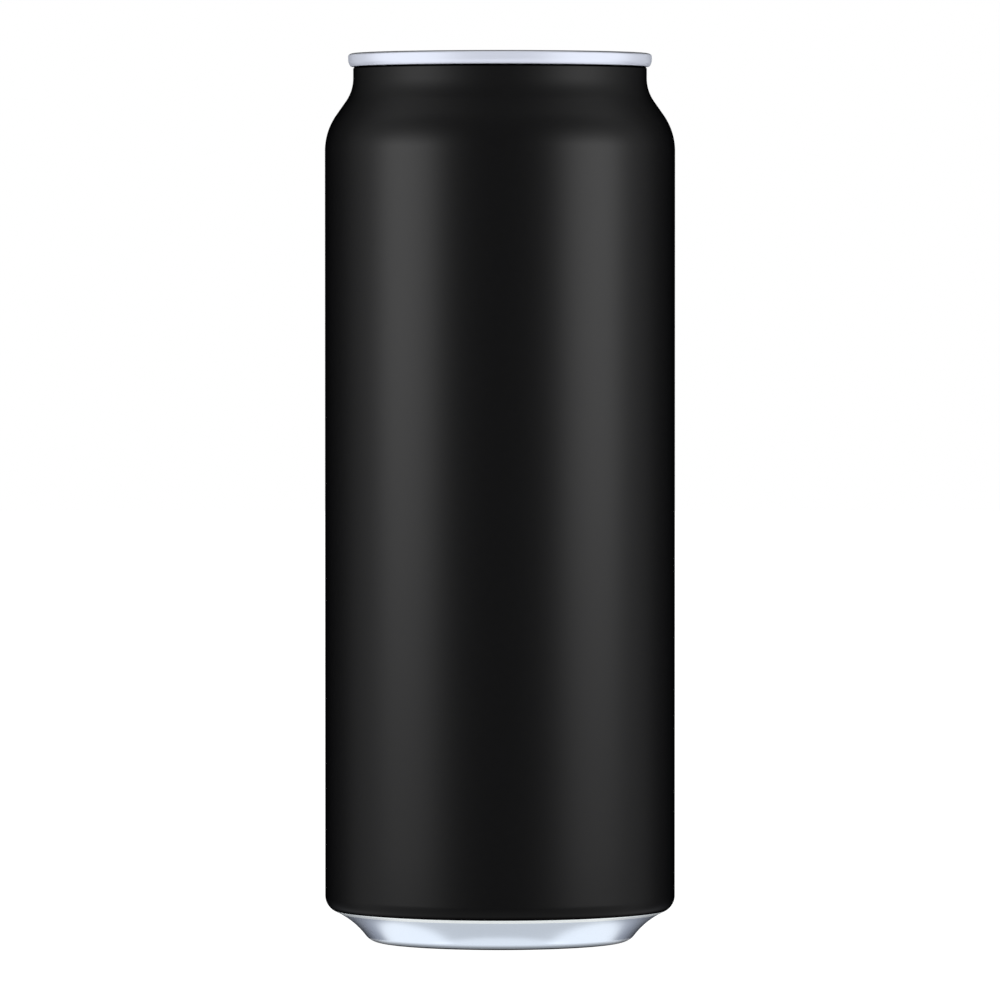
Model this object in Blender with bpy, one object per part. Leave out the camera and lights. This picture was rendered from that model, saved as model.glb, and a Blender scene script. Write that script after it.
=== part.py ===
"""A shut half-litre beer can: the drawn body, the lid seamed onto it and the stay-on tab.

Metres, +Z up. The origin is the middle of the base, on the plane the can stands on. The lid's
mouth lies towards -Y and the ring of the tab towards +Y. A turned solid is an outline of
(radius, height) points that runs from the axis at the top down the outside to the axis at the
bottom, and a Screw modifier turns it about Z.
"""

import math

import bmesh
import bpy
import numpy as np

# The whole can
CAN_HEIGHT = 0.168
BODY_RADIUS = 0.0331
TURN_STEPS = 56
GAP = 0.0003

# The shoulder: rounded where it leaves the wall, then straight, then hollow up to the neck
NECK_RADIUS = 0.02775
SHOULDER_HEIGHT = 0.14955
SHOULDER_ROUND = 0.0118
SHOULDER_HOLLOW = 0.0076
SHOULDER_LEAN = math.radians(35)

# The foot: a rounded heel, a hollow leg and the nose that the can stands on
HEEL_HEIGHT = 0.0087
HEEL_ROUND = 0.00315
LEG_HOLLOW = 0.0152
STAND_RADIUS = 0.02295
STAND_FLAT = 0.0006
NOSE_OUTSIDE = 0.0032
NOSE_INSIDE = 0.0015

# The dome pressed up into the base
DOME_DEPTH = 0.0102
DOME_RADIUS = 0.0455
DOME_CORNER = 0.0012

# The double seam that holds the lid, and the wall that drops from it
SEAM_RADIUS = 0.0287
SEAM_HEIGHT = 0.0025
SEAM_THICKNESS = 0.0014
SEAM_TOP_ROUND = 0.0006
SEAM_FOOT_ROUND = 0.0014
LID_SHEET = 0.0003

# The groove around the lid's panel, and the panel
GROOVE_DEPTH = 0.0066
GROOVE_ROUND = 0.0006
PANEL_DEPTH = 0.0043
PANEL_RADIUS = 0.025
PANEL_EDGE_ROUND = 0.0005
PANEL_THICKNESS = 0.0012

# What is pressed into the panel: the pear-shaped hollow, the scored line that the mouth tears
# along, which stops at the hinge, and the dip that lets a finger under the tab
HOLLOW_DEPTH = 0.00045
HOLLOW_MOUTH_Y = -0.009
HOLLOW_MOUTH_RADIUS = 0.0136
HOLLOW_HEEL_Y = 0.013
HOLLOW_HEEL_RADIUS = 0.0098
HOLLOW_BOSS_RADIUS = 0.0035
MOUTH_Y = -0.0124
MOUTH_HALF_WIDTH = 0.0116
MOUTH_HALF_LENGTH = 0.0082
SCORE_WIDTH = 0.0005
SCORE_DEPTH = 0.0002
SCORE_GAP = math.radians(44)
HINGE_BEARING = math.radians(36)
DIP_Y = 0.0155
DIP_HALF_WIDTH = 0.0062
DIP_HALF_LENGTH = 0.0042
DIP_DEPTH = 0.00035

# The tab and the rivet that holds it
TAB_FRONT = -0.0084
TAB_BACK = 0.017
TAB_WIDTH = 0.016
TAB_TAPER = 0.12
TAB_THICKNESS = 0.0012
TAB_EDGE_ROUND = 0.0004
RING_Y = 0.0106
RING_HALF_WIDTH = 0.0054
RING_HALF_LENGTH = 0.004
TONGUE_RADIUS = 0.0035
TONGUE_THICKNESS = 0.0006
SLOT_WIDTH = 0.001
SLOT_HALF_TURN = math.radians(125)
RIVET_RADIUS = 0.0016
RIVET_HEAD_RADIUS = 0.0029
RIVET_HEAD_THICKNESS = 0.0005
OVAL_POWER = 2.5

# Heights that follow from those
SEAM_FOOT = CAN_HEIGHT - SEAM_HEIGHT
NECK_TOP = SEAM_FOOT - GAP
PANEL_TOP = CAN_HEIGHT - PANEL_DEPTH
PANEL_UNDERSIDE = PANEL_TOP - PANEL_THICKNESS
GROOVE_CENTRE = CAN_HEIGHT - GROOVE_DEPTH + GROOVE_ROUND
TAB_UNDERSIDE = PANEL_TOP + GAP
TAB_TOP = TAB_UNDERSIDE + TAB_THICKNESS
TONGUE_TOP = TAB_UNDERSIDE + TONGUE_THICKNESS
RIVET_HEAD_UNDERSIDE = TONGUE_TOP + GAP


def arc(centre, radius, start, end, steps):
    """Points on a circle from one angle to another, both in radians and both included."""
    return [
        (centre[0] + radius * math.cos(angle), centre[1] + radius * math.sin(angle))
        for angle in np.linspace(start, end, steps + 1)
    ]


def circles_meet(first, first_radius, second, second_radius):
    """Where two circles cross, on the right of the way from the first centre to the second."""
    gap_x = second[0] - first[0]
    gap_z = second[1] - first[1]
    apart = math.hypot(gap_x, gap_z)
    along = (apart**2 + first_radius**2 - second_radius**2) / (2 * apart)
    aside = math.sqrt(first_radius**2 - along**2)
    return (
        first[0] + (along * gap_x + aside * gap_z) / apart,
        first[1] + (along * gap_z - aside * gap_x) / apart,
    )


def direction(start, end):
    """The angle of the way from one point to another."""
    return math.atan2(end[1] - start[1], end[0] - start[0])


def shoulder_outline():
    """Neck, hollow curve, straight lean and rounded curve, down to the top of the wall."""
    rounded = (BODY_RADIUS - SHOULDER_ROUND, SHOULDER_HEIGHT)
    hollow_radius = NECK_RADIUS + SHOULDER_HOLLOW
    reach = SHOULDER_ROUND + SHOULDER_HOLLOW - (hollow_radius - rounded[0]) * math.cos(SHOULDER_LEAN)
    hollow = (hollow_radius, rounded[1] + reach / math.sin(SHOULDER_LEAN))
    return [
        *arc(hollow, SHOULDER_HOLLOW, math.pi, math.pi + SHOULDER_LEAN, 4),
        *arc(rounded, SHOULDER_ROUND, SHOULDER_LEAN, 0, 5),
    ]


def foot_outline():
    """Heel, hollow leg, the flat ring the can stands on, and the dome inside it."""
    heel = (BODY_RADIUS - HEEL_ROUND, HEEL_HEIGHT)
    nose = (STAND_RADIUS, NOSE_OUTSIDE)
    leg = circles_meet(nose, LEG_HOLLOW + NOSE_OUTSIDE, heel, LEG_HOLLOW + HEEL_ROUND)
    inner_nose = (STAND_RADIUS - STAND_FLAT, NOSE_INSIDE)
    dome = (0, DOME_DEPTH - DOME_RADIUS)
    corner_radius = inner_nose[0] - NOSE_INSIDE - DOME_CORNER
    corner = (corner_radius, dome[1] + math.sqrt((DOME_RADIUS - DOME_CORNER) ** 2 - corner_radius**2))
    spring = direction(dome, corner)
    return [
        *arc(heel, HEEL_ROUND, 0, direction(heel, leg), 4),
        *arc(leg, LEG_HOLLOW, direction(leg, heel), direction(leg, nose), 3)[1:],
        *arc(nose, NOSE_OUTSIDE, direction(nose, leg), -math.pi / 2, 3)[1:],
        *arc(inner_nose, NOSE_INSIDE, -math.pi / 2, -math.pi, 3),
        *arc(corner, DOME_CORNER, 0, spring, 2),
        *arc(dome, DOME_RADIUS, spring, math.pi / 2, 4)[1:],
    ]


def chuck_wall(offset):
    """The leaning wall inside the seam, from its top to the groove, moved out by the offset.

    The wall is the tangent from a point inside the top of the seam to the circle of the groove.
    """
    top = (SEAM_RADIUS - SEAM_THICKNESS, CAN_HEIGHT - SEAM_TOP_ROUND)
    groove = (PANEL_RADIUS + GROOVE_ROUND, GROOVE_CENTRE)
    apart = math.hypot(top[0] - groove[0], top[1] - groove[1])
    facing = direction(groove, top) - math.acos(GROOVE_ROUND / apart)
    shift = (offset * math.cos(facing), offset * math.sin(facing))
    reach = GROOVE_ROUND + offset
    foot = (groove[0] + reach * math.cos(facing), groove[1] + reach * math.sin(facing))
    return (top[0] + shift[0], top[1] + shift[1]), foot, facing


def chuck_wall_at(height, offset):
    """The radius of that wall at a height."""
    top, foot, _ = chuck_wall(offset)
    share = (height - foot[1]) / (top[1] - foot[1])
    return foot[0] + share * (top[0] - foot[0])


def groove_outline(offset, steps):
    """The round bottom of the groove, from the panel's side to the leaning wall."""
    facing = chuck_wall(offset)[2]
    centre = (PANEL_RADIUS + GROOVE_ROUND, GROOVE_CENTRE)
    return arc(centre, GROOVE_ROUND + offset, -math.pi, facing, steps)


def body_outline():
    """The filled body: its top keeps the gap to the lid's underside."""
    spacing = LID_SHEET + GAP
    top = PANEL_UNDERSIDE - GAP
    return [
        (0, top),
        (PANEL_RADIUS - spacing, top),
        *groove_outline(spacing, 4),
        (chuck_wall_at(NECK_TOP, spacing), NECK_TOP),
        (NECK_RADIUS, NECK_TOP),
        *shoulder_outline(),
        *foot_outline(),
    ]


def lid_outline():
    """The lid with its rivet: the panel and groove above, over the seam, and back below."""
    head_side = RIVET_HEAD_UNDERSIDE + RIVET_HEAD_THICKNESS / 2
    head_top = RIVET_HEAD_UNDERSIDE + RIVET_HEAD_THICKNESS
    edge = (PANEL_RADIUS - PANEL_EDGE_ROUND, PANEL_TOP - PANEL_EDGE_ROUND)
    inside_top = (SEAM_RADIUS - SEAM_THICKNESS + SEAM_TOP_ROUND, CAN_HEIGHT - SEAM_TOP_ROUND)
    outside_top = (SEAM_RADIUS - SEAM_TOP_ROUND, CAN_HEIGHT - SEAM_TOP_ROUND)
    outside_foot = (SEAM_RADIUS - SEAM_FOOT_ROUND, SEAM_FOOT + SEAM_FOOT_ROUND)
    return [
        (0, head_top),
        (RIVET_HEAD_RADIUS - RIVET_HEAD_THICKNESS / 2, head_top),
        (RIVET_HEAD_RADIUS, head_side),
        (RIVET_HEAD_RADIUS, RIVET_HEAD_UNDERSIDE),
        (RIVET_RADIUS, RIVET_HEAD_UNDERSIDE),
        (RIVET_RADIUS, PANEL_TOP),
        *arc(edge, PANEL_EDGE_ROUND, math.pi / 2, 0, 2),
        *groove_outline(0, 4),
        *arc(inside_top, SEAM_TOP_ROUND, math.pi, math.pi / 2, 2),
        *arc(outside_top, SEAM_TOP_ROUND, math.pi / 2, 0, 3),
        *arc(outside_foot, SEAM_FOOT_ROUND, 0, -math.pi / 2, 3),
        (chuck_wall_at(SEAM_FOOT, LID_SHEET), SEAM_FOOT),
        *reversed(groove_outline(LID_SHEET, 3)),
        (PANEL_RADIUS - LID_SHEET, PANEL_UNDERSIDE),
        (0, PANEL_UNDERSIDE),
    ]


def oval(centre_y, half_width, half_length, steps, taper=0.0):
    """A squarish oval, |x/a|^p + |y/b|^p = 1, that narrows by the taper from front to back."""
    turn = np.linspace(0, 2 * np.pi, steps, endpoint=False)
    power = 2 / OVAL_POWER
    across = np.sign(np.cos(turn)) * np.abs(np.cos(turn)) ** power
    along = np.sign(np.sin(turn)) * np.abs(np.sin(turn)) ** power
    width = half_width * (1 - taper * (along + 1) / 2)
    return list(zip(across * width, centre_y + along * half_length))


def pear(front_y, front_radius, back_y, back_radius, steps):
    """Two circles on the Y axis and their outer tangents, anticlockwise from the front."""
    lean = math.asin((front_radius - back_radius) / (back_y - front_y))
    return [
        *arc((0, front_y), front_radius, -math.pi - lean, lean, steps),
        *arc((0, back_y), back_radius, lean, math.pi - lean, steps),
    ]


def band(inner, outer):
    """The outline of an open band: along its outer line and back along its inner one."""
    return [*outer, *reversed(inner)]


def material(name, colour, roughness, metallic):
    """A Principled material."""
    made = bpy.data.materials.new(name)
    made.use_nodes = True
    shader = made.node_tree.nodes["Principled BSDF"]
    shader.inputs["Base Color"].default_value = (*colour, 1)
    shader.inputs["Roughness"].default_value = roughness
    shader.inputs["Metallic"].default_value = metallic
    return made


def place(name, mesh):
    """An object for the mesh, standing on the can's own empty."""
    made = bpy.data.objects.new(name, mesh)
    made.parent = bpy.data.objects["can_origin"]
    bpy.context.scene.collection.objects.link(made)
    return made


def turned(name, outline):
    """A solid of revolution about Z."""
    mesh = bpy.data.meshes.new(name)
    points = [(radius, 0, height) for radius, height in outline]
    mesh.from_pydata(points, [(n, n + 1) for n in range(len(points) - 1)], [])
    made = place(name, mesh)
    screw = made.modifiers.new("turn", "SCREW")
    screw.steps = TURN_STEPS
    screw.render_steps = TURN_STEPS
    screw.use_merge_vertices = True
    screw.merge_threshold = 0.000001
    return made


def prism(name, outline, bottom, top):
    """A flat outline, anticlockwise in X and Y, carried up from one height to another."""
    mesh = bpy.data.meshes.new(name)
    shape = bmesh.new()
    face = shape.faces.new([shape.verts.new((x, y, bottom)) for x, y in outline])
    sides = bmesh.ops.extrude_face_region(shape, geom=[face])["geom"]
    raised = [part for part in sides if isinstance(part, bmesh.types.BMVert)]
    bmesh.ops.translate(shape, verts=raised, vec=(0, 0, top - bottom))
    bmesh.ops.recalc_face_normals(shape, faces=shape.faces)
    shape.to_mesh(mesh)
    shape.free()
    return place(name, mesh)


def cut(solid, cutter):
    """Takes the cutter's shape out of the solid."""
    cutter.hide_render = True
    cutter.display_type = "WIRE"
    boolean = solid.modifiers.new(cutter.name, "BOOLEAN")
    boolean.operation = "DIFFERENCE"
    boolean.solver = "EXACT"
    boolean.object = cutter


def finish(solid, look):
    """Gives a solid its material and shades its round faces smooth."""
    solid.data.materials.append(look)
    solid.data.shade_smooth()
    solid.data.set_sharp_from_angle(angle=math.radians(40))


def make_body():
    """The wall-ironed aluminium body, lacquered black, with its beer."""
    body = turned("can_body", body_outline())
    finish(body, material("black_lacquer", (0.012, 0.012, 0.013), 0.35, 0))


def make_lid():
    """The lid of bare aluminium, with the rivet drawn up out of its own sheet."""
    lid = turned("lid", lid_outline())
    floor = PANEL_TOP - HOLLOW_DEPTH
    above = PANEL_TOP + GAP / 2

    boss_top = above + GAP
    boss_foot = floor - GAP
    boss = [(0, boss_top), (HOLLOW_BOSS_RADIUS, boss_top), (HOLLOW_BOSS_RADIUS, boss_foot), (0, boss_foot)]
    hollow = pear(HOLLOW_MOUTH_Y, HOLLOW_MOUTH_RADIUS, HOLLOW_HEEL_Y, HOLLOW_HEEL_RADIUS, 20)
    hollow_cutter = prism("hollow_cutter", hollow, floor, above)
    cut(hollow_cutter, turned("boss_cutter", boss))
    cut(lid, hollow_cutter)

    start = HINGE_BEARING + SCORE_GAP / 2
    turn = np.linspace(start, start + 2 * np.pi - SCORE_GAP, 33)
    lines = [
        list(
            zip(
                (MOUTH_HALF_WIDTH + side) * np.cos(turn),
                MOUTH_Y + (MOUTH_HALF_LENGTH + side) * np.sin(turn),
            )
        )
        for side in (-SCORE_WIDTH / 2, SCORE_WIDTH / 2)
    ]
    cut(lid, prism("score_cutter", band(*lines), floor - SCORE_DEPTH, above))

    dip = oval(DIP_Y, DIP_HALF_WIDTH, DIP_HALF_LENGTH, 24)
    cut(lid, prism("dip_cutter", dip, floor - DIP_DEPTH, above))
    finish(lid, material("bare_aluminium", (0.78, 0.8, 0.83), 0.3, 1))


def make_tab():
    """The tab of thicker aluminium: a lever with a ring, held by the tongue round its rivet."""
    length = TAB_BACK - TAB_FRONT
    outline = oval(TAB_FRONT + length / 2, TAB_WIDTH / 2, length / 2, 40, TAB_TAPER)
    tab = prism("tab", outline, TAB_UNDERSIDE, TAB_TOP)
    edge = tab.modifiers.new("rounded_edge", "BEVEL")
    edge.width = TAB_EDGE_ROUND
    edge.segments = 2
    edge.limit_method = "ANGLE"
    edge.angle_limit = math.radians(40)

    below = TAB_UNDERSIDE - GAP / 2
    above = TAB_TOP + GAP
    ring = oval(RING_Y, RING_HALF_WIDTH, RING_HALF_LENGTH, 32)
    cut(tab, prism("ring_cutter", ring, below, above))

    middle = math.pi / 2
    around = [
        arc((0, 0), radius, middle - SLOT_HALF_TURN, middle + SLOT_HALF_TURN, 24)
        for radius in (TONGUE_RADIUS, TONGUE_RADIUS + SLOT_WIDTH)
    ]
    cut(tab, prism("slot_cutter", band(*around), below, above))

    seat_radius = TONGUE_RADIUS + SLOT_WIDTH / 2
    hole_radius = RIVET_RADIUS + GAP
    seat = [
        (0, above),
        (seat_radius, above),
        (seat_radius, TONGUE_TOP),
        (hole_radius, TONGUE_TOP),
        (hole_radius, below),
        (0, below),
    ]
    cut(tab, turned("rivet_cutter", seat))
    finish(tab, material("tab_aluminium", (0.7, 0.72, 0.75), 0.35, 1))


for old in list(bpy.data.objects):
    bpy.data.objects.remove(old, do_unlink=True)
bpy.context.scene.collection.objects.link(bpy.data.objects.new("can_origin", None))

make_body()
make_lid()
make_tab()
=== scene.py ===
import math

import bpy
import numpy as np
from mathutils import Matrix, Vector


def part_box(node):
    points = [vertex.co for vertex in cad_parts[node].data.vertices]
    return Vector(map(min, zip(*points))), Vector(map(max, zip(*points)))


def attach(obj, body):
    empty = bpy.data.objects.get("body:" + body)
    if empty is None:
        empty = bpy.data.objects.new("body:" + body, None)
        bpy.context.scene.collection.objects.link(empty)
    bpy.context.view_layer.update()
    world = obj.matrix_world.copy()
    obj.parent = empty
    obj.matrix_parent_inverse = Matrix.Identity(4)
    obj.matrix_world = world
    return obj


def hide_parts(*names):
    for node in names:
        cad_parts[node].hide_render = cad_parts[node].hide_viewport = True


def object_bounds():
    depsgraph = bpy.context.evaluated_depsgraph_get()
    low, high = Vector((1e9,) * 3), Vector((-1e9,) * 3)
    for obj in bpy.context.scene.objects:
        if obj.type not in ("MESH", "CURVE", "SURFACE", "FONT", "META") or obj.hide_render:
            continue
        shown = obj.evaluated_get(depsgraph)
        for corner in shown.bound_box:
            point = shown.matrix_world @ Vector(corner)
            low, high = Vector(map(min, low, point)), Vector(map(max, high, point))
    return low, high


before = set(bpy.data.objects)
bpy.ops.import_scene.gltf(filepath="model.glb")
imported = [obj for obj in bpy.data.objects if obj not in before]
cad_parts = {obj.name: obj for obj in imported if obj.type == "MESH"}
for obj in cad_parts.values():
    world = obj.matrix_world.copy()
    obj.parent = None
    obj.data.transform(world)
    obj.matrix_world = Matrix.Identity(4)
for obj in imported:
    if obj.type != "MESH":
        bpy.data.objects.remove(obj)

cad_low, cad_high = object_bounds()

# -----------------------------------------------------------------------------------------------
# Foot and dome: the bottom of the drawn aluminium cup. A press rolls the wall in over a rounded
# heel to a narrow standing ring and pushes a dome up inside it. Below the lacquer it stays bare.
# -----------------------------------------------------------------------------------------------

MM = 0.001
can_height = cad_high[2]
wall_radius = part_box("can_body")[1][0]
heel_height = 8.7 * MM
heel_round = 3.15 * MM
leg_hollow = 15.2 * MM
stand_radius = 22.95 * MM
stand_flat = 0.6 * MM
nose_outside = 3.2 * MM
nose_inside = 1.5 * MM
dome_depth = 10.2 * MM
dome_radius = 45.5 * MM
dome_corner = 1.2 * MM
sheet = 0.3 * MM
lacquer_coat = 0.02 * MM
lacquer_end = 6.1 * MM
# Heights of a painted highlight: a brighter, less metallic band of bare metal under the lacquer.
painted_highlight_heights = (5.4 * MM, 5.55 * MM)
heel_start = -math.radians(25)
sharp_angle = math.radians(40)


def arc(centre, radius, start, end, steps):
    """(radius, height) points on a circle between two angles, both ends included."""
    angle = np.linspace(start, end, steps + 1)
    return np.stack([centre[0] + radius * np.cos(angle), centre[1] + radius * np.sin(angle)], 1)


def line(start, end, steps):
    """Evenly spaced points on the straight line between two points, both ends included."""
    share = np.linspace(0, 1, steps + 1)[:, None]
    return np.array(start) * (1 - share) + np.array(end) * share


def bearing(start, end):
    """The angle of the way from one point to another."""
    return math.atan2(end[1] - start[1], end[0] - start[0])


def circles_meet(first, first_radius, second, second_radius):
    """Where two circles cross, on the right of the way from the first centre to the second."""
    way = np.array(second) - np.array(first)
    apart = np.hypot(*way)
    along = (apart**2 + first_radius**2 - second_radius**2) / (2 * apart)
    aside = math.sqrt(first_radius**2 - along**2)
    return np.array(first) + (along * way + aside * np.array([way[1], -way[0]])) / apart


def outline(*stretches):
    """One line of points from stretches that follow each other; shared end points go in once."""
    points = np.concatenate(stretches)
    step = np.hypot(*np.diff(points, axis=0).T)
    return points[np.concatenate([[True], step > 0.001 * MM])]


def moved_out(points, distance):
    """Each point moved along its normal, to the left of the way that the line runs."""
    way = np.gradient(points, axis=0)
    way /= np.hypot(*way.T)[:, None]
    return points + np.reshape(distance, (-1, 1)) * np.stack([-way[:, 1], way[:, 0]], 1)


def grid_faces(rows, columns, rows_close):
    """Quads between the neighbours of a grid of vertices, numbered row by row. Each row closes."""
    row = np.arange(rows if rows_close else rows - 1)[:, None]
    column = np.arange(columns)[None, :]
    below = (row + 1) % rows
    beside = (column + 1) % columns
    corners = [
        row * columns + column,
        below * columns + column,
        below * columns + beside,
        row * columns + beside,
    ]
    return np.stack(np.broadcast_arrays(*corners), -1).reshape(-1, 4)


def piece(name, points, faces):
    """A mesh object at the origin, shaded round except across edges that turn by the sharp angle."""
    mesh = bpy.data.meshes.new(name)
    mesh.from_pydata(points.reshape(-1, 3), [], faces)
    mesh.shade_smooth()
    mesh.set_sharp_from_angle(angle=sharp_angle)
    made = bpy.data.objects.new(name, mesh)
    bpy.context.scene.collection.objects.link(made)
    return made


def skin(name, rings, poles=None):
    """A closed surface through rings of points, each joined to the next.

    With two poles each end closes in a fan on its pole; without, the last ring joins the first.
    """
    rows, around = rings.shape[:2]
    points = rings.reshape(-1, 3)
    faces = grid_faces(rows, around, poles is None).tolist()
    if poles is not None:
        start = np.arange(around)
        end = start + (rows - 1) * around
        pole = np.full(around, len(points))
        faces += np.stack([pole, start, np.roll(start, -1)], 1).tolist()
        faces += np.stack([pole + 1, np.roll(end, -1), end], 1).tolist()
        points = np.concatenate([points, poles])
    return piece(name, points, faces)


def all_round(count):
    """Unit vectors all the way round the axis, anticlockwise from the front: (sin a, -cos a)."""
    angle = np.linspace(0, 2 * np.pi, count, endpoint=False)
    return np.stack([np.sin(angle), -np.cos(angle)], 1)


def turn(profile, around):
    """Rings of a surface of revolution, (r(s) sin a, -r(s) cos a, z(s))."""
    across, along = all_round(around).T
    radius = profile[:, :1]
    height = np.broadcast_to(profile[:, 1:], (len(profile), around))
    return np.stack([radius * across, radius * along, height], -1)


def turned(name, profile, closed=False, around=256):
    """A turned piece. Its profile runs down the outside, and closes or has both ends on the axis."""
    if closed:
        return skin(name, turn(profile, around))
    poles = [[0, 0, profile[0, 1]], [0, 0, profile[-1, 1]]]
    return skin(name, turn(profile[1:-1], around), poles)


heel = (wall_radius - heel_round, heel_height)
nose = (stand_radius, nose_outside)
leg = circles_meet(nose, leg_hollow + nose_outside, heel, leg_hollow + heel_round)
inner_nose = (stand_radius - stand_flat, nose_inside)
dome = (0, dome_depth - dome_radius)
corner_radius = inner_nose[0] - nose_inside - dome_corner
corner = (corner_radius, dome[1] + math.sqrt((dome_radius - dome_corner) ** 2 - corner_radius**2))
spring = bearing(dome, corner)

base = outline(
    arc(heel, heel_round, heel_start, bearing(heel, leg), 24),
    arc(leg, leg_hollow, bearing(leg, heel), bearing(leg, nose), 90),
    arc(nose, nose_outside, bearing(nose, leg), -math.pi / 2, 20),
    arc(inner_nose, nose_inside, -math.pi / 2, -math.pi, 14),
    arc(corner, dome_corner, 0, spring, 12),
    arc(dome, dome_radius, spring, math.pi / 2, 40),
)
under_lacquer = np.clip((base[:, 1] - lacquer_end) / lacquer_coat + 1, 0, 1)
under_lacquer[base[:, 0] < stand_radius] = 0
outside = moved_out(base, -lacquer_coat * under_lacquer)
inside = moved_out(base, -sheet)[::-3]
outside[-1, 0] = 0
inside[0, 0] = 0
foot = turned("foot_and_dome", np.concatenate([inside, outside]))


class Value:
    """A shader value. Arithmetic on it adds Math nodes, and node() adds any other node."""

    def __init__(self, tree, socket=None):
        self.tree = tree
        self.socket = socket

    def node(self, kind, settings, inputs, output=0):
        """Adds a node, makes its settings, then sets or links its inputs. Gives one output."""
        made = self.tree.nodes.new("ShaderNode" + kind)
        for name, setting in settings.items():
            setattr(made, name, setting)
        for key, given in inputs.items():
            if isinstance(given, Value):
                self.tree.links.new(given.socket, made.inputs[key])
            else:
                made.inputs[key].default_value = given
        return Value(self.tree, made.outputs[output] if made.outputs else None)

    def math(self, operation, *operands):
        """Adds a Math node that works on the operands."""
        return self.node("Math", {"operation": operation}, dict(enumerate(operands)))

    def __add__(self, other):
        return self.math("ADD", self, other)

    __radd__ = __add__

    def __sub__(self, other):
        return self.math("SUBTRACT", self, other)

    def __rsub__(self, other):
        return self.math("SUBTRACT", other, self)

    def __mul__(self, other):
        return self.math("MULTIPLY", self, other)

    __rmul__ = __mul__

    def smooth(self, low, high):
        """0 below low, 1 above high and a smooth step between them."""
        settings = {"interpolation_type": "SMOOTHSTEP"}
        return self.node("MapRange", settings, {0: self, 1: low, 2: high, 3: 0.0, 4: 1.0})


def new_material(name):
    """An empty material, and its tree as a value to add nodes with."""
    made = bpy.data.materials.new(name)
    made.use_nodes = True
    made.node_tree.nodes.clear()
    return made, Value(made.node_tree)


streak_shade = 0.94
grain_relief = 0.35
line_roughness = 0.06
patch_roughness = 0.04
patch_scale = 60.0


def metal(name, colour, metallic, roughness, grain, grain_depth, change=None):
    """Bare aluminium. The grain is a function from the tree to a vector along which noise is drawn.

    The noise varies the roughness and stands as a fine relief, as drawing or rolling leaves it.
    A change gives two heights between which the metal turns to another colour and metallic value.
    """
    made, tree = new_material(name)
    place = tree.node("TexCoord", {}, {}, "Object")
    fine = {"Vector": grain(tree), "Scale": 1.0, "Detail": 4.0, "Roughness": 0.65}
    lines = tree.node("TexNoise", {}, fine)
    patches = tree.node("TexNoise", {}, {"Vector": place, "Scale": patch_scale, "Detail": 2.0})

    def streaked(tone):
        """The tone, streaked by the lines with a slightly darker one."""
        ends = {0: lines, 6: (*(streak_shade * c for c in tone), 1), 7: (*tone, 1)}
        return tree.node("Mix", {"data_type": "RGBA"}, ends, 2)

    shade = streaked(colour)
    if change:
        heights, upper_colour, upper_metallic = change
        share = tree.node("SeparateXYZ", {}, {0: place}, 2).smooth(*heights)
        shade = tree.node("Mix", {"data_type": "RGBA"}, {0: share, 6: shade, 7: streaked(upper_colour)}, 2)
        metallic = metallic + (upper_metallic - metallic) * share
    bump = tree.node("Bump", {}, {"Strength": grain_relief, "Distance": grain_depth, "Height": lines})
    smoothest = roughness - (line_roughness + patch_roughness) / 2
    shader = tree.node(
        "BsdfPrincipled",
        {},
        {
            "Base Color": shade,
            "Metallic": metallic,
            "Roughness": smoothest + line_roughness * lines + patch_roughness * patches,
            "Normal": bump,
        },
    )
    tree.node("OutputMaterial", {}, {"Surface": shader})
    return made


drawn_around = 300.0
drawn_along = 60.0


def drawn_lines(tree):
    """Lines that run up the wall: the direction from the axis, finely divided, with little height."""
    place = tree.node("TexCoord", {}, {}, "Object")
    flat = tree.node("VectorMath", {"operation": "MULTIPLY"}, {0: place, 1: (1.0, 1.0, 0.0)})
    around = tree.node("VectorMath", {"operation": "NORMALIZE"}, {0: flat})
    wide = tree.node("VectorMath", {"operation": "SCALE"}, {0: around, "Scale": drawn_around})
    tall = tree.node("VectorMath", {"operation": "MULTIPLY"}, {0: place, 1: (0.0, 0.0, drawn_along)})
    return tree.node("VectorMath", {"operation": "ADD"}, {0: wide, 1: tall})


bare_colour = (0.74, 0.82, 0.935)
bare_roughness = 0.2
fine_grain = 0.002 * MM
# Painted highlight: between those heights the bare metal turns brighter and less metallic.
painted_highlight_colour = (0.945, 0.995, 1.0)
painted_highlight_metallic = 0.6
painted_highlight_band = (painted_highlight_heights, painted_highlight_colour, painted_highlight_metallic)
bare_finish = metal("bare_foot", bare_colour, 1.0, bare_roughness, drawn_lines, fine_grain, painted_highlight_band)
foot.data.materials.append(bare_finish)
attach(foot, "root")
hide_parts("can_body")

# -----------------------------------------------------------------------------------------------
# Wall and shoulder: the rest of the same aluminium cup, ironed thin, necked in at the top for a
# smaller lid and sprayed with matt black lacquer, which stops short of the foot.
# -----------------------------------------------------------------------------------------------

neck_radius = 27.75 * MM
neck_tuck = 0.15 * MM
neck_tuck_depth = 0.3 * MM
neck_round = 0.1 * MM
neck_sheet = 0.05 * MM
shoulder_height = 149.55 * MM
shoulder_round = 11.8 * MM
shoulder_hollow = 7.6 * MM
shoulder_lean = math.radians(35)
full_sheet_from = 0.9 * heel_height
seam_foot = can_height - 2.5 * MM
fit_gap = 0.03 * MM

rounded = (wall_radius - shoulder_round, shoulder_height)
hollow_radius = neck_radius + shoulder_hollow
reach = shoulder_round + shoulder_hollow - (hollow_radius - rounded[0]) * math.cos(shoulder_lean)
hollow = (hollow_radius, rounded[1] + reach / math.sin(shoulder_lean))
lacquer_edge = -math.asin((heel_height - lacquer_end) / heel_round)

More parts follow.
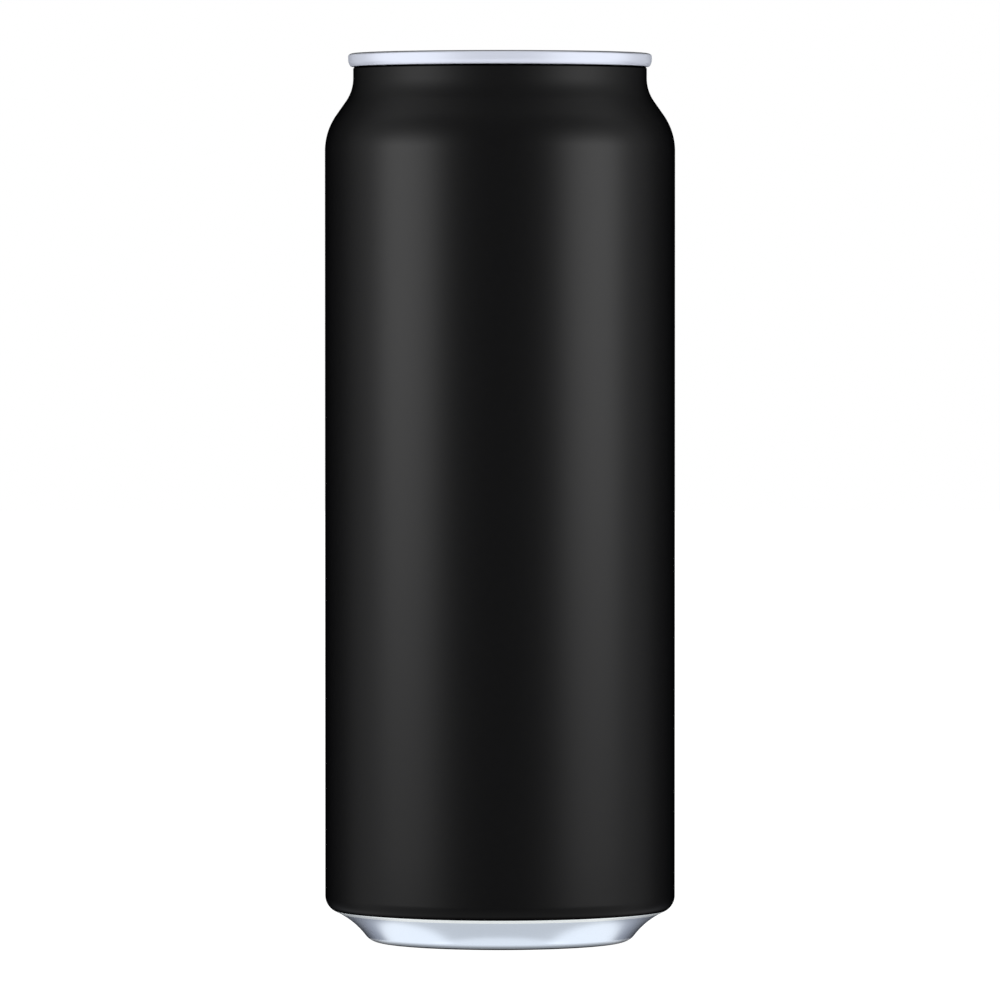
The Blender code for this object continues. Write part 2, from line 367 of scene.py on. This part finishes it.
tucked_radius = neck_radius - neck_tuck
neck_edge = (neck_radius - neck_round, seam_foot - neck_tuck_depth - neck_round)
side = outline(
    line((tucked_radius, seam_foot - fit_gap), (tucked_radius, neck_edge[1] + neck_round), 2),
    arc(neck_edge, neck_round, math.pi / 2, 0, 6),
    arc(hollow, shoulder_hollow, math.pi, math.pi + shoulder_lean, 40),
    arc(rounded, shoulder_round, shoulder_lean, 0, 40),
    line((wall_radius, shoulder_height), (wall_radius, heel_height), 16),
    arc(heel, heel_round, 0, lacquer_edge, 16),
)
thickness = np.where(side[:, 1] > full_sheet_from, sheet, lacquer_coat)
thickness[side[:, 1] > neck_edge[1]] = neck_sheet
wall = turned("lacquered_wall", np.concatenate([side, moved_out(side, -thickness)[::-1]]), True)

lacquer_dark = (0.0002, 0.0002, 0.0003, 1)
lacquer_light = (0.0006, 0.0006, 0.0008, 1)
lacquer_gloss = 0.094
slant_starts = (0.62, 0.95)
slant_loss = 0.85
wall_roughness = 0.398
neck_roughness = 0.5
neck_dulls = (150.4 * MM, 161.3 * MM)
# Lacquer ends that turn to matt black as painted shade: at its foot and just under the seam.
foot_painted_shade = (lacquer_end + 0.1 * MM, lacquer_end + 0.9 * MM)
seam_painted_shade = (seam_foot - 0.47 * MM, seam_foot - 0.37 * MM)
peel_scale = 900.0
peel_roughness = 0.02
peel_relief = 0.25
peel_depth = 0.002 * MM
dust_scale = 5000.0
dust_relief = 0.3


def lacquer():
    """Black lacquer whose roughness goes smoothly from the wall's to the neck's.

    Two sizes of noise vary it a little: the orange peel of the spray and the dust in it. Towards
    both of its ends it fades to a matt black that mirrors nothing, as painted shade just under
    the seam and along its edge above the foot. At a steep slant its relief hides most of its
    gloss, so it fades towards that black.
    """
    made, tree = new_material("black_lacquer_finish")
    place = tree.node("TexCoord", {}, {}, "Object")
    height = tree.node("SeparateXYZ", {}, {0: place}, 2)
    duller = (neck_roughness - wall_roughness) * height.smooth(*neck_dulls)
    # Painted shade: outside these heights the lacquer turns to a matt black that mirrors nothing.
    glossy = height.smooth(*foot_painted_shade) * (1 - height.smooth(*seam_painted_shade))
    peel = tree.node("TexNoise", {}, {"Vector": place, "Scale": peel_scale, "Detail": 2.0})
    dust = tree.node("TexNoise", {}, {"Vector": place, "Scale": dust_scale, "Detail": 1.0})
    base = tree.node("Mix", {"data_type": "RGBA"}, {0: peel, 6: lacquer_dark, 7: lacquer_light}, 2)
    relief = {"Strength": peel_relief, "Distance": peel_depth, "Height": peel + dust_relief * dust}
    bump = tree.node("Bump", {}, relief)
    shader = tree.node(
        "BsdfPrincipled",
        {},
        {
            "Base Color": base,
            "Specular IOR Level": lacquer_gloss,
            "Roughness": wall_roughness + duller + peel_roughness * (peel - 0.5),
            "Normal": bump,
        },
    )
    slant = tree.node("LayerWeight", {}, {"Blend": 0.5}, "Facing").smooth(*slant_starts)
    matt = tree.node("BsdfDiffuse", {}, {"Color": lacquer_dark})
    mixed = tree.node("MixShader", {}, {0: 1 - glossy * (1 - slant_loss * slant), 1: shader, 2: matt})
    tree.node("OutputMaterial", {}, {"Surface": mixed})
    return made


wall.data.materials.append(lacquer())
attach(wall, "root")
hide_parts("can_body")

# -----------------------------------------------------------------------------------------------
# Lid: stamped from aluminium sheet. Its edge and the top of the wall are rolled into the double
# seam. Inside that come the leaning wall, the groove and the panel, with its hollow, the scored
# mouth, the boss for the rivet and the dip for a finger pressed into it.
# -----------------------------------------------------------------------------------------------

seam_radius = 28.7 * MM
crest_inside = 0.45 * MM
crest_outside = (1.0 * MM, 0.58 * MM)
seam_curve = 1.9 * MM
seam_curve_end = math.radians(40)
seam_lip = 0.15 * MM
groove_depth = 6.6 * MM
groove_round = 0.6 * MM
panel_top = can_height - 4.3 * MM
panel_radius = 25 * MM
panel_edge = 0.5 * MM

hollow_depth = 0.45 * MM
hollow_step = 0.9 * MM
hollow_front = (-9 * MM, 13.6 * MM)
hollow_back = (13 * MM, 9.8 * MM)
boss_radius = 3.5 * MM
boss_step = 0.6 * MM
dip_centre = 15.5 * MM
dip_half = (6.2 * MM, 4.2 * MM)
dip_depth = 0.35 * MM
dip_power = 2.5
dip_slope = 0.8
mouth_centre = -12.4 * MM
mouth_half = (11.6 * MM, 8.2 * MM)
score_depth = 0.11 * MM
score_width = 0.16 * MM
second_score_inset = 0.9 * MM
second_score_depth = 0.05 * MM
score_gap = math.radians(44)
score_fade = 0.08
hinge_bearing = math.radians(36)
tear_bead_share = 0.66
tear_bead_width = 0.55 * MM
tear_bead_height = 0.16 * MM

lid_around = 240
mouth_ovals = np.concatenate([np.linspace(0.03, 0.85, 28), np.linspace(0.856, 1.05, 36)])
rings_beyond_mouth = 165


def smooth(low, high, value):
    """0 below low, 1 above high and a smooth step between them."""
    share = np.clip((value - low) / (high - low), 0, 1)
    return share * share * (3 - 2 * share)


def outside_pear(x, y):
    """How far points lie outside two circles on the Y axis and their tangents; inside is negative."""
    (front, front_radius), (back, back_radius) = hollow_front, hollow_back
    sine = (front_radius - back_radius) / (back - front)
    cosine = math.sqrt(1 - sine * sine)
    x, y = np.abs(x), y - front
    along = cosine * y - sine * x
    on_side = cosine * x + sine * y - front_radius
    on_front = np.hypot(x, y) - front_radius
    on_back = np.hypot(x, y - (back - front)) - back_radius
    past_back = along > cosine * (back - front)
    return np.where(along < 0, on_front, np.where(past_back, on_back, on_side))


def pressed(x, y):
    """The panel's height: flat, less the hollow and the dip, plus the boss."""
    in_hollow = 1 - smooth(-hollow_step, 0, outside_pear(x, y))
    off_boss = smooth(boss_radius, boss_radius + boss_step, np.hypot(x, y))
    dip = np.clip(1 - np.hypot(x / dip_half[0], (y - dip_centre) / dip_half[1]) ** dip_power, 0, 1)
    return panel_top - hollow_depth * in_hollow * off_boss - dip_depth * smooth(0, dip_slope, dip)


def panel_rings():
    """Rings from the middle of the mouth out: ovals as far as its score, then ever rounder.

    The last is the circle where the panel's edge starts to turn down. The height is the pressed
    one, less a groove at the score and its second line, plus the bead round the tear panel.
    """
    way = all_round(lid_around)
    inside = mouth_ovals[:, None, None] * way * mouth_half + [0, mouth_centre]
    share = np.linspace(0, 1, rings_beyond_mouth + 1)[1:, None, None]
    beyond = inside[-1] * (1 - share) + (panel_radius - panel_edge) * way * share
    x, y = np.moveaxis(np.concatenate([inside, beyond]), -1, 0)

    across, along = x / mouth_half[0], (y - mouth_centre) / mouth_half[1]
    size = np.hypot(across, along)
    slope = np.hypot(across / mouth_half[0], along / mouth_half[1]) / size
    from_score = (size - 1) / slope
    turned_by = np.abs((np.arctan2(along, across) - hinge_bearing + np.pi) % (2 * np.pi) - np.pi)
    scored = smooth(score_gap / 2 - score_fade, score_gap / 2 + score_fade, turned_by)
    first = score_depth * np.exp(-((from_score / score_width) ** 2))
    second = second_score_depth * np.exp(-(((from_score + second_score_inset) / score_width) ** 2))
    from_bead = (size - tear_bead_share) / slope
    tear_bead = tear_bead_height * np.exp(-((from_bead / tear_bead_width) ** 2))
    z = pressed(x, y) - (first + second) * scored + tear_bead
    return np.stack([x, y, z], -1)


groove = (panel_radius + groove_round, can_height - groove_depth + groove_round)
crest = (seam_radius - crest_outside[0], can_height - crest_inside)
wall_top = (crest[0] - crest_inside, crest[1])
apart = math.dist(groove, wall_top)
facing = bearing(groove, wall_top) - math.acos(groove_round / apart)
lip_reach = seam_curve - seam_lip
curve = (seam_radius - seam_curve, seam_foot + seam_lip + lip_reach * math.sin(seam_curve_end))
lip = (curve[0] + lip_reach * math.cos(seam_curve_end), seam_foot + seam_lip)
edge = (panel_radius - panel_edge, panel_top - panel_edge)
inside_neck = np.array([tucked_radius - neck_sheet - fit_gap, seam_foot])
seam_section = outline(
    arc(crest, crest_inside, math.pi, math.pi / 2, 10),
    arc((0, 0), 1, math.pi / 2, 0, 18) * crest_outside + [crest[0], can_height - crest_outside[1]],
    arc(curve, seam_curve, 0, -seam_curve_end, 10),
    arc(lip, seam_lip, -seam_curve_end, -math.pi / 2, 6),
    [inside_neck],
)
seam = turned("double_seam", seam_section, True)
above = outline(
    arc(edge, panel_edge, math.pi / 2, 0, 8),
    arc(groove, groove_round, -math.pi, facing, 20),
)
below = outline(
    [wall_top, inside_neck - [fit_gap, 0]],
    arc(groove, groove_round + sheet, facing, -math.pi, 12),
)
panel = panel_rings()
to_seam = np.concatenate([turn(above[1:], lid_around), turn(below, lid_around)])
rings = np.concatenate([panel, to_seam, panel[::-6] - [0, 0, sheet]])
middle = np.array([0, mouth_centre, pressed(0, mouth_centre)])
lid = skin("lid_panel", rings, [middle, middle - [0, 0, sheet]])

rolled_fineness = (2400.0, 70.0, 70.0)
burnished_fineness = 4000.0


def rolled_sheet(tree):
    """Lines that run straight along Y, as the rolls of the mill leave them in the sheet."""
    place = tree.node("TexCoord", {}, {}, "Object")
    return tree.node("VectorMath", {"operation": "MULTIPLY"}, {0: place, 1: rolled_fineness})


def burnished(tree):
    """Lines round the axis, as the seaming rolls leave them: only radius and height count."""
    place = tree.node("TexCoord", {}, {}, "Object")
    flat = tree.node("VectorMath", {"operation": "MULTIPLY"}, {0: place, 1: (1.0, 1.0, 0.0)})
    radius = tree.node("VectorMath", {"operation": "LENGTH"}, {0: flat}, 1)
    height = tree.node("SeparateXYZ", {}, {0: place}, 2)
    return tree.node("CombineXYZ", {}, {0: burnished_fineness * radius, 1: burnished_fineness * height})


lid_colour = (0.78, 0.81, 0.87)
lid_roughness = 0.24
rolled_grain = 0.004 * MM
lid.data.materials.append(metal("lid_finish", lid_colour, 1.0, lid_roughness, rolled_sheet, rolled_grain))

seam_colour = (0.73, 0.77, 0.89)
seam_metallic = 0.42
seam_roughness = 0.32
crest_metallic = 0.87
polished = (can_height - 0.36 * MM, can_height - 0.2 * MM)
on_crest = (polished, lid_colour, crest_metallic)
rolled_round = (burnished, fine_grain, on_crest)
seam.data.materials.append(metal("seam_finish", seam_colour, seam_metallic, seam_roughness, *rolled_round))
for part in (lid, seam):
    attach(part, "root")
    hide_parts("lid")

# -----------------------------------------------------------------------------------------------
# Rivet: a button drawn up from the lid's own sheet. It goes through the hole in the tab's tongue
# and is pressed flat over it, which holds the tab and leaves the head slightly dished.
# -----------------------------------------------------------------------------------------------

rivet_head = 2.9 * MM
rivet_stem = 1.6 * MM
rivet_top = panel_top + 1.7 * MM
rivet_thickness = 0.5 * MM
rivet_round = 0.2 * MM
rivet_dish = 0.12 * MM
rivet_dish_side = (0.5 * rivet_head, 0.85 * rivet_head)
rivet_roughness = 0.22

head_edge = (rivet_head - rivet_round, rivet_top - rivet_round)
head_foot = (rivet_head - rivet_round, rivet_top - rivet_thickness + rivet_round)
fillet = (rivet_stem + rivet_round, panel_top + rivet_round)
dish = line((0, 0), (head_edge[0], 0), 24)
dish[:, 1] = rivet_top - rivet_dish * (1 - smooth(*rivet_dish_side, dish[:, 0]))
button = outline(
    dish,
    arc(head_edge, rivet_round, math.pi / 2, 0, 8),
    arc(head_foot, rivet_round, 0, -math.pi / 2, 8),
    line((rivet_stem, head_foot[1] - rivet_round), (rivet_stem, fillet[1]), 3),
    arc(fillet, rivet_round, math.pi, 1.5 * math.pi, 6),
    line((fillet[0], panel_top - fit_gap), (0, panel_top - fit_gap), 1),
)
rivet = turned("rivet_button", button, around=96)
rivet.data.materials.append(metal("rivet_finish", lid_colour, 1.0, rivet_roughness, burnished, fine_grain))
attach(rivet, "root")
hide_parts("lid")

# -----------------------------------------------------------------------------------------------
# Tab: stamped from a stronger aluminium strip. Its edge and the edge of its finger ring are curled
# under, flat webs join them, and a tongue cut free round the rivet lets the rest of it tip up.
# -----------------------------------------------------------------------------------------------

tab_front = -8.4 * MM
tab_back = 17 * MM
tab_half_width = 8 * MM
tab_taper = 0.12
tab_under = panel_top + 0.3 * MM
tab_thickness = 1.2 * MM
tab_power = 2.5
curl_half = 0.85 * MM
nose_curl_half = 1.35 * MM
nose_starts = -3 * MM
nose_full = 0.9 * tab_front
ring_centre = 10.6 * MM
ring_half = (5.4 * MM, 4 * MM)
ring_curl_half = 0.6 * MM
ring_curl_height = 0.5 * MM
web_thickness = 0.34 * MM
web_step = 0.16 * MM
web_step_side = (0.04, 0.22)
cut_radius = 4.4 * MM
web_joint = 5.7 * MM
tongue_hole = 1.1 * rivet_stem
tongue_radius = 3.3 * MM
tongue_reach = 6 * MM
tongue_under = panel_top + 0.72 * MM
bar_half = (4.6 * MM, 0.5 * MM, 0.48 * MM)
tab_middle = tab_under + tab_thickness / 2
tab_around = 240
curl_around = 28


def squarish(half_width, half_length, centre, taper=0, around=tab_around):
    """A squarish oval, |x/a|^p + |y/b|^p = 1, that narrows by the taper from front to back."""
    way = all_round(around)
    across, along = (np.sign(way) * np.abs(way) ** (2 / tab_power)).T
    narrowed = half_width * (1 - taper * (along + 1) / 2)
    return np.stack([across * narrowed, centre + along * half_length], 1)


def sideways(loop):
    """Unit vectors that point out of an anticlockwise loop."""
    way = np.roll(loop, -1, 0) - np.roll(loop, 1, 0)
    way /= np.hypot(*way.T)[:, None]
    return np.stack([way[:, 1], -way[:, 0]], 1)


def curl(name, loop, half_width, half_height):
    """A rolled edge: a squarish section, |u/w|^p + |v/h|^p = 1, carried along a loop."""
    section = squarish(1, 1, 0, around=curl_around)[::-1]
    offset = section[:, :1, None] * np.reshape(half_width, (1, -1, 1)) * sideways(loop)
    height = tab_middle + half_height * section[:, 1:, None] + 0 * offset[..., :1]
    return skin(name, np.concatenate([loop + offset, height], -1))


def plate(name, inner, outer, profile):
    """A ring of sheet between two loops. Its profile gives the share of the way out and the height."""
    share, height = profile[:, :1, None], profile[:, 1:, None]
    rings = inner * (1 - share) + outer * share
    return skin(name, np.concatenate([rings, height + 0 * rings[..., :1]], -1))


def reach_of(loop, centre, way):
    """How far a loop is from a point inside it, in each direction."""
    to = loop - centre
    angle = np.arctan2(to[:, 0], -to[:, 1])
    return np.interp(np.arctan2(way[:, 0], -way[:, 1]), angle, np.hypot(*to.T), period=2 * np.pi)


def reach_to_joint(centre, way):
    """How far a point on the Y axis is from the line where the two webs meet, in each direction."""
    apart = web_joint - centre[1]
    towards = way[:, 1] * apart > 0
    return np.where(towards, apart / np.where(towards, way[:, 1], 1), np.inf)


def sheet_profile(low, step):
    """The section of a sheet that steps down a little way in from both of its edges."""
    share = np.linspace(0, 1, 33)
    sunk = low - step * smooth(*web_step_side, share) * smooth(*web_step_side, 1 - share)
    top = np.stack([share, sunk + web_thickness], 1)
    return np.concatenate([top, np.stack([share, sunk], 1)[::-4]])


way = all_round(tab_around)
half_length = (tab_back - tab_front) / 2
rim = squarish(tab_half_width, half_length, tab_front + half_length, tab_taper)
rim_half = curl_half + (nose_curl_half - curl_half) * smooth(nose_starts, nose_full, rim[:, 1])
rim_middle = rim - rim_half[:, None] * sideways(rim)
hole = squarish(*ring_half, ring_centre)
hole_middle = hole + ring_curl_half * sideways(hole)

rivet_place, ring_place = np.array([0, 0]), np.array([0, ring_centre])
front_reach = np.minimum(reach_of(rim_middle, rivet_place, way), reach_to_joint(rivet_place, way))
front_outer = front_reach[:, None] * way
back_reach = np.minimum(reach_of(rim_middle, ring_place, way), reach_to_joint(ring_place, way))
back_outer = back_reach[:, None] * way + ring_place
back_inner = reach_of(hole_middle, ring_place, way)[:, None] * way + ring_place
forward = np.maximum(-way[:, 1], 0)
tongue_front = ((forward / tongue_reach) ** 4 + (np.abs(way[:, 0]) / tongue_radius) ** 4) ** -0.25
tongue_far = np.where(way[:, 1] < 0, np.minimum(tongue_front, tongue_reach), tongue_radius)
tongue_outer = tongue_far[:, None] * way

# The cross bead is a turned spindle, laid along X and flattened to its three half sizes.
bar = line((0, 1), (0, -1), 40)
bar[:, 0] = (1 - bar[:, 1] ** 4) ** 0.5
bar = turn(bar[1:-1], 32)[..., [2, 0, 1]] * bar_half + [0, web_joint, tab_middle]
bar_ends = np.array([[bar_half[0], web_joint, tab_middle], [-bar_half[0], web_joint, tab_middle]])

web = sheet_profile(tab_middle - web_thickness / 2, web_step)
tongue = sheet_profile(tongue_under, 0)
tab_parts = [
    curl("tab_rim_curl", rim_middle, rim_half, tab_thickness / 2),
    curl("tab_ring_curl", hole_middle, ring_curl_half, ring_curl_height),
    plate("tab_front_web", cut_radius * way, front_outer, web),
    plate("tab_ring_web", back_inner, back_outer, web),
    plate("tab_tongue", tongue_hole * way, tongue_outer, tongue),
    skin("tab_cross_bead", bar, bar_ends),
]
tab_colour = (0.72, 0.74, 0.78)
tab_roughness = 0.28
tab_finish = metal("tab_finish", tab_colour, 1.0, tab_roughness, rolled_sheet, rolled_grain)
for part in tab_parts:
    part.data.materials.append(tab_finish)
    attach(part, "root")
    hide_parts("tab")

# -----------------------------------------------------------------------------------------------
# Camera: a long lens at three quarters of the can's height, so that neither the top of the lid nor
# the underside of the foot shows.
# -----------------------------------------------------------------------------------------------

camera_place = (0, -1.7104, 0.128)
camera_aim = (0, 0, 0.08357)
camera_lens = 325.5
camera_sensor = 36
camera_sight = 100

camera = bpy.data.objects.new("camera", bpy.data.cameras.new("camera"))
camera.data.lens = camera_lens
camera.data.sensor_width = camera_sensor
camera.data.clip_end = camera_sight
camera.location = camera_place
look = Vector(camera_aim) - Vector(camera_place)
camera.rotation_euler = look.to_track_quat("-Z", "Y").to_euler()
bpy.context.scene.collection.objects.link(camera)
bpy.context.scene.camera = camera
bpy.context.scene.view_settings.view_transform = "Standard"

# -----------------------------------------------------------------------------------------------
# Floor: a pale matt sheet that glows, so that shadows on it stay faint. Metal and lacquer don't
# mirror it, but only a glowing disc under the foot, a painted reflection of the floor: black in
# the middle as painted contact shade, brighter outwards and dimmer behind the can than in front.
# -----------------------------------------------------------------------------------------------

floor_radius = 3
floor_shade = 0.25
floor_glow = 0.93
contact_radius = 25.4 * MM
contact_below = 0.5 * MM
contact_ramps = ((23.4 * MM, 23.8 * MM), (24.1 * MM, 25.4 * MM))
contact_glows = (0.3, 0.58)
contact_front = (-3.8 * MM, -12.5 * MM)
contact_behind = 0.35


def disc(name, radius, height, around=96):
    """A flat disc, (r sin a, -r cos a) at one height, as a single face that points up."""
    edge = radius * all_round(around)
    return piece(name, np.insert(edge, 2, height, axis=1), [list(range(around))])


floor = disc("floor", floor_radius, 0)
floor_finish, tree = new_material("floor_finish")
floor_colour = (floor_shade, floor_shade, floor_shade, 1)
shader = tree.node(
    "BsdfPrincipled",
    {},
    {
        "Base Color": floor_colour,
        "Roughness": 1.0,
        "Specular IOR Level": 0.0,
        "Emission Color": (1, 1, 1, 1),
        "Emission Strength": floor_glow,
    },
)
tree.node("OutputMaterial", {}, {"Surface": shader})
floor.data.materials.append(floor_finish)
floor.visible_glossy = False
floor.visible_shadow = False

contact = disc("contact_shade", contact_radius, -contact_below)
contact_finish, tree = new_material("contact_shade_finish")
place = tree.node("TexCoord", {}, {}, "Object")
flat = tree.node("VectorMath", {"operation": "MULTIPLY"}, {0: place, 1: (1.0, 1.0, 0.0)})
radius = tree.node("VectorMath", {"operation": "LENGTH"}, {0: flat}, 1)
# Painted reflection of the floor, with painted contact shade under the foot and less glow behind.
steps = [glow * radius.smooth(*ramp) for glow, ramp in zip(contact_glows, contact_ramps)]
towards_front = tree.node("SeparateXYZ", {}, {0: place}, 1).smooth(*contact_front)
lit_share = contact_behind + (1 - contact_behind) * towards_front
glow = tree.node("Emission", {}, {"Strength": (steps[0] + steps[1]) * lit_share})
tree.node("OutputMaterial", {}, {"Surface": glow})
contact.data.materials.append(contact_finish)
contact.visible_camera = False
contact.visible_diffuse = False
contact.visible_shadow = False

# -----------------------------------------------------------------------------------------------
# Room: what metal and lacquer mirror depends on direction only. It is bright in front of the can,
# beside it and below it, and dark behind it but for a cool glow low on the far side. The camera
# sees plain white, and soft light is even.
# -----------------------------------------------------------------------------------------------

room_front = 0.55
room_sides = 1.3
room_sides_start = (0.4, 0.8)
room_fade = (0.2, 0.55)
room_above = 0.65
room_above_starts = (0.5, 0.8)
room_below_starts = (0.45, 0.6)
room_diffuse = 0.95
under_level = 0.68
under_front = 0.31
under_front_fade = (-0.01, 0.09)
under_sides = 0.43
under_sides_turn = 0.25
under_sides_start = (0.35, 0.46)
far_turn = 0.4
far_starts = (0.86, 0.95)
far_glow = 0.435
far_glow_starts = (0.15, 0.6)
far_colour = (0.92, 0.955, 1.085)

world = bpy.data.worlds.new("room")
world.use_nodes = True
world.node_tree.nodes.clear()
world.cycles.sampling_method = "NONE"
bpy.context.scene.world = world
tree = Value(world.node_tree)
way_out = tree.node("TexCoord", {}, {}, "Generated")
x, y, z = (tree.node("SeparateXYZ", {}, {0: way_out}, axis) for axis in range(3))
front = 1 - y.smooth(*room_fade)
aside = tree.math("ABSOLUTE", x)
down = 0 - z
below = down.smooth(*room_below_starts)
under = under_level + under_front * (1 - y.smooth(*under_front_fade))
under = under + under_sides * (aside + under_sides_turn * y).smooth(*under_sides_start)
far = (y + far_turn * aside).smooth(*far_starts)
under = under * (1 - far) * below + far_glow * far * down.smooth(*far_glow_starts)
above = z.smooth(*room_above_starts)
around_can = room_front + (room_sides - room_front) * aside.smooth(*room_sides_start)
level = front * (around_can * (1 - above) * (1 - below) + room_above * above) + under
seen = tree.node("LightPath", {}, {}, "Is Camera Ray")
soft = tree.node("LightPath", {}, {}, "Is Diffuse Ray")
mirrored = (1 - seen) * (1 - soft)
strength = seen + room_diffuse * (1 - seen) * soft + mirrored * level
cooler = {0: far * mirrored, 6: (1, 1, 1, 1), 7: (*far_colour, 1)}
air = tree.node("Mix", {"data_type": "RGBA"}, cooler, 2)
background = tree.node("Background", {}, {"Color": air, "Strength": strength})
tree.node("OutputWorld", {}, {"Surface": background})

# -----------------------------------------------------------------------------------------------
# Lamps: two tall softboxes and two overhead lamps that light only the lacquer, two panels behind
# that light only the seam, and one lamp above that lights only the rest of the lid and the tab.
# -----------------------------------------------------------------------------------------------

softbox_bearing = math.radians(62)
softbox_distance = 0.665
softbox_size = (0.475, 0.483)
softbox_middle = 0.303
softbox_radiance = 7.9
softbox_foot = 2.0
softbox_fall = 1.6
softbox_dimmed = 0.6
softbox_dimmed_from = (0.45, 0.6)
overhead_bearing = math.radians(100)
overhead_rise = math.radians(56)
overhead_distance = 0.6
overhead_size = (0.3, 0.34)
overhead_radiance = 2.1
rear_bearing = math.radians(128)
rear_distance = 0.6
rear_size = (0.5, 0.4)
rear_radiance = 0.4
lid_light_distance = 0.14
lid_light_size = (0.5, 0.5)
lid_light_radiance = 1
lid_light_middle = 0.1
lid_light_rest = 0.55
lid_light_ramp = (0.1, 0.6)


def lamp(name, out, target, distance, size, radiance, pattern, lit):
    """A rectangular light that only some pieces mirror. It stands off a target and faces it.

    The pattern makes its radiance from how far up it and how far off its middle a point is, 0 to 1.
    """
    light = bpy.data.lights.new(name, "AREA")
    light.shape = "RECTANGLE"
    light.size, light.size_y = size
    light.energy = math.pi * size[0] * size[1] * radiance
    light.use_nodes = True
    light.node_tree.nodes.clear()
    tree = Value(light.node_tree)
    place = tree.node("NewGeometry", {}, {}, "Parametric")
    up = tree.node("SeparateXYZ", {}, {0: place}, 1)
    off_middle = tree.node("VectorMath", {"operation": "DISTANCE"}, {0: place, 1: (0.5, 0.5, 0.0)}, 1) * 2
    emission = tree.node("Emission", {}, {"Strength": pattern(up, off_middle)})
    tree.node("OutputLight", {}, {"Surface": emission})
    made = bpy.data.objects.new(name, light)
    made.location = Vector(target) + distance * Vector(out)
    made.rotation_euler = Vector(out).to_track_quat("Z", "Y").to_euler()
    made.visible_camera = False
    receivers = bpy.data.collections.new(name + "_lights")
    for part in lit:
        receivers.objects.link(part)
    made.light_linking.receiver_collection = receivers
    bpy.context.scene.collection.objects.link(made)


def direction(bearing_from_front, rise):
    """A unit vector at a bearing from the camera's side, to the right, and an angle above level."""
    across, along = math.sin(bearing_from_front), -math.cos(bearing_from_front)
    return (across * math.cos(rise), along * math.cos(rise), math.sin(rise))


def even(up, off_middle):
    """The same all over."""
    return 1.0


def softbox_pattern(up, off_middle):
    """Brightest at the foot, with the upper part dimmed by its cloth."""
    dimmed = 1 - softbox_dimmed * up.smooth(*softbox_dimmed_from)
    return (softbox_foot - softbox_fall * up) * dimmed


def lid_light_pattern(up, off_middle):
    """Dim in the middle, and brighter towards the rim."""
    return lid_light_middle + lid_light_rest * off_middle.smooth(*lid_light_ramp)


for hand in (-1, 1):
    lamp("softbox", direction(hand * softbox_bearing, 0), (0, 0, softbox_middle), softbox_distance,
         softbox_size, softbox_radiance, softbox_pattern, [wall])
    lamp("overhead", direction(hand * overhead_bearing, overhead_rise), (0, 0, shoulder_height),
         overhead_distance, overhead_size, overhead_radiance, even, [wall])
    lamp("rear_panel", direction(hand * rear_bearing, 0), (0, 0, can_height), rear_distance,
         rear_size, rear_radiance, even, [seam])
lamp("lid_panel_light", (0, 0, 1), (0, 0, can_height), lid_light_distance, lid_light_size,
     lid_light_radiance, lid_light_pattern, [lid, rivet, *tab_parts])
